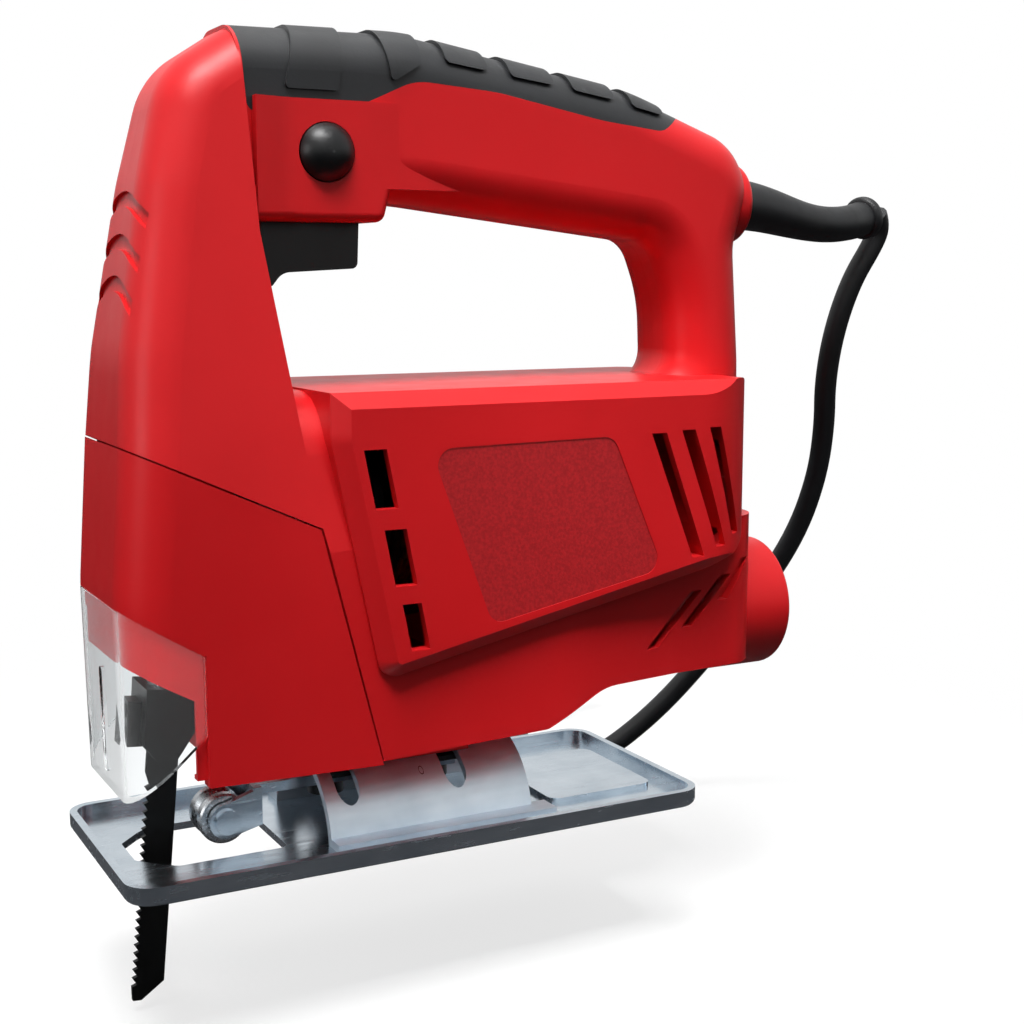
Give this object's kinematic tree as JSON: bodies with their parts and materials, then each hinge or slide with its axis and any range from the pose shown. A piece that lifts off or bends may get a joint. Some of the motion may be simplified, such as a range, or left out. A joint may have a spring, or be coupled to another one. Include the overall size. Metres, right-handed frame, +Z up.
{
  "type": "jigsaw power tool",
  "caption": "Corded jigsaw with a closed loop handle, trigger and lock button, driven blade, clear guard, tilting sole plate, guide roller and a coiled cord with plug.",
  "frame": {"origin": "centre of the sole plate's under face", "axes": "+Z up, away from the work; +X towards the cord end, -X the way the saw cuts; -Y the side with the lock button"},
  "size_m": [0.2405, 0.2326, 0.2264],
  "materials": {
    "red_shell": "satin moulded plastic",
    "soft_grip": "matt soft overmould",
    "label_red": "fine grained dark red label, bare",
    "clear_guard": "clear polycarbonate",
    "zinc_steel": "bright zinc plate",
    "bright_steel": "ground steel",
    "black_steel": "black oxide",
    "blade_steel": "black blade steel",
    "bronze": "sintered bronze",
    "cast_aluminium": "cast",
    "core_steel": "stacked laminations",
    "winding_copper": "enamelled copper",
    "carbon": "carbon block",
    "black_plastic": "satin moulded plastic",
    "cord_rubber": "matt cord sheath"
  },
  "bodies": {
    "housing": {"left_housing": "red_shell", "right_housing": "red_shell", "housing_screws": "black_steel", "left_grip": "soft_grip", "right_grip": "soft_grip", "label_plate": "label_red", "nose_cover": "red_shell", "blade_guard": "clear_guard", "clamp_shoe": "zinc_steel", "base_screws": "black_steel", "base_nuts": "zinc_steel", "roller_bracket": "zinc_steel", "roller_pin": "zinc_steel", "lower_bush": "bronze", "upper_bush": "bronze", "gear_axle": "bright_steel", "gear_plate": "cast_aluminium", "front_bearing": "bright_steel", "rear_bearing": "bright_steel", "field_core": "core_steel", "field_coils": "winding_copper", "brush_holders": "bronze", "carbon_brushes": "carbon", "brush_springs": "bright_steel", "switch_body": "black_plastic", "trigger_spring": "bright_steel", "lock_spring": "bright_steel", "strain_relief": "cord_rubber", "cord_lead": "cord_rubber", "cord_coil": "cord_rubber", "cord_tail": "cord_rubber", "cord_tie": "black_plastic", "plug": "cord_rubber"},
    "armature": {"armature_shaft": "bright_steel", "armature_core": "core_steel", "armature_winding": "winding_copper", "commutator": "winding_copper", "fan": "black_plastic"},
    "gear": {"drive_gear": "bright_steel", "crank_roller": "bright_steel"},
    "plunger_set": {"plunger": "bright_steel", "blade_clamp": "black_steel", "clamp_screws": "black_steel", "blade": "blade_steel"},
    "trigger": {"trigger": "black_plastic"},
    "lock_button": {"lock_button": "black_plastic"},
    "base": {"base_plate": "zinc_steel", "base_saddle": "zinc_steel"},
    "roller": {"guide_roller": "bright_steel"}
  },
  "joints": [
    {"name": "armature_spin", "type": "hinge", "parent": "housing", "child": "armature", "pos_m": [0, 0, 0.078], "axis": [1, 0, 0], "range_deg": [-400, 400]},
    {"name": "gear_spin", "type": "hinge", "parent": "housing", "child": "gear", "pos_m": [-0.0414, 0, 0.10005], "axis": [1, 0, 0], "range_deg": [-90.1, 90.1]},
    {"name": "plunger_slide", "type": "slide", "parent": "housing", "child": "plunger_set", "axis": [0.0958, 0, 0.9954], "range_m": [-0.009, 0.009]},
    {"name": "trigger_pull", "type": "slide", "parent": "housing", "child": "trigger", "axis": [0, 0, 1], "range_m": [0, 0.005], "stiffness_N_per_m": 500, "springref_m": -0.003, "deforming": ["trigger_spring"]},
    {"name": "lock_button_press", "type": "slide", "parent": "housing", "child": "lock_button", "axis": [0, 1, 0], "range_m": [0, 0.0025], "stiffness_N_per_m": 600, "springref_m": -0.002, "deforming": ["lock_spring"]},
    {"name": "bevel_tilt", "type": "hinge", "parent": "housing", "child": "base", "pos_m": [0, 0, 0], "axis": [1, 0, 0], "range_deg": [-35, 35]},
    {"name": "roller_spin", "type": "hinge", "parent": "housing", "child": "roller", "pos_m": [-0.0442, 0, 0.0075], "axis": [0, 1, 0], "continuous": true}
  ],
  "couplings": [
    {"joint": "gear_spin", "follows": "armature_spin", "ratio": -0.225},
    {"joint": "plunger_slide", "follows": "armature_spin", "m_per_rad": -0.001289}
  ]
}
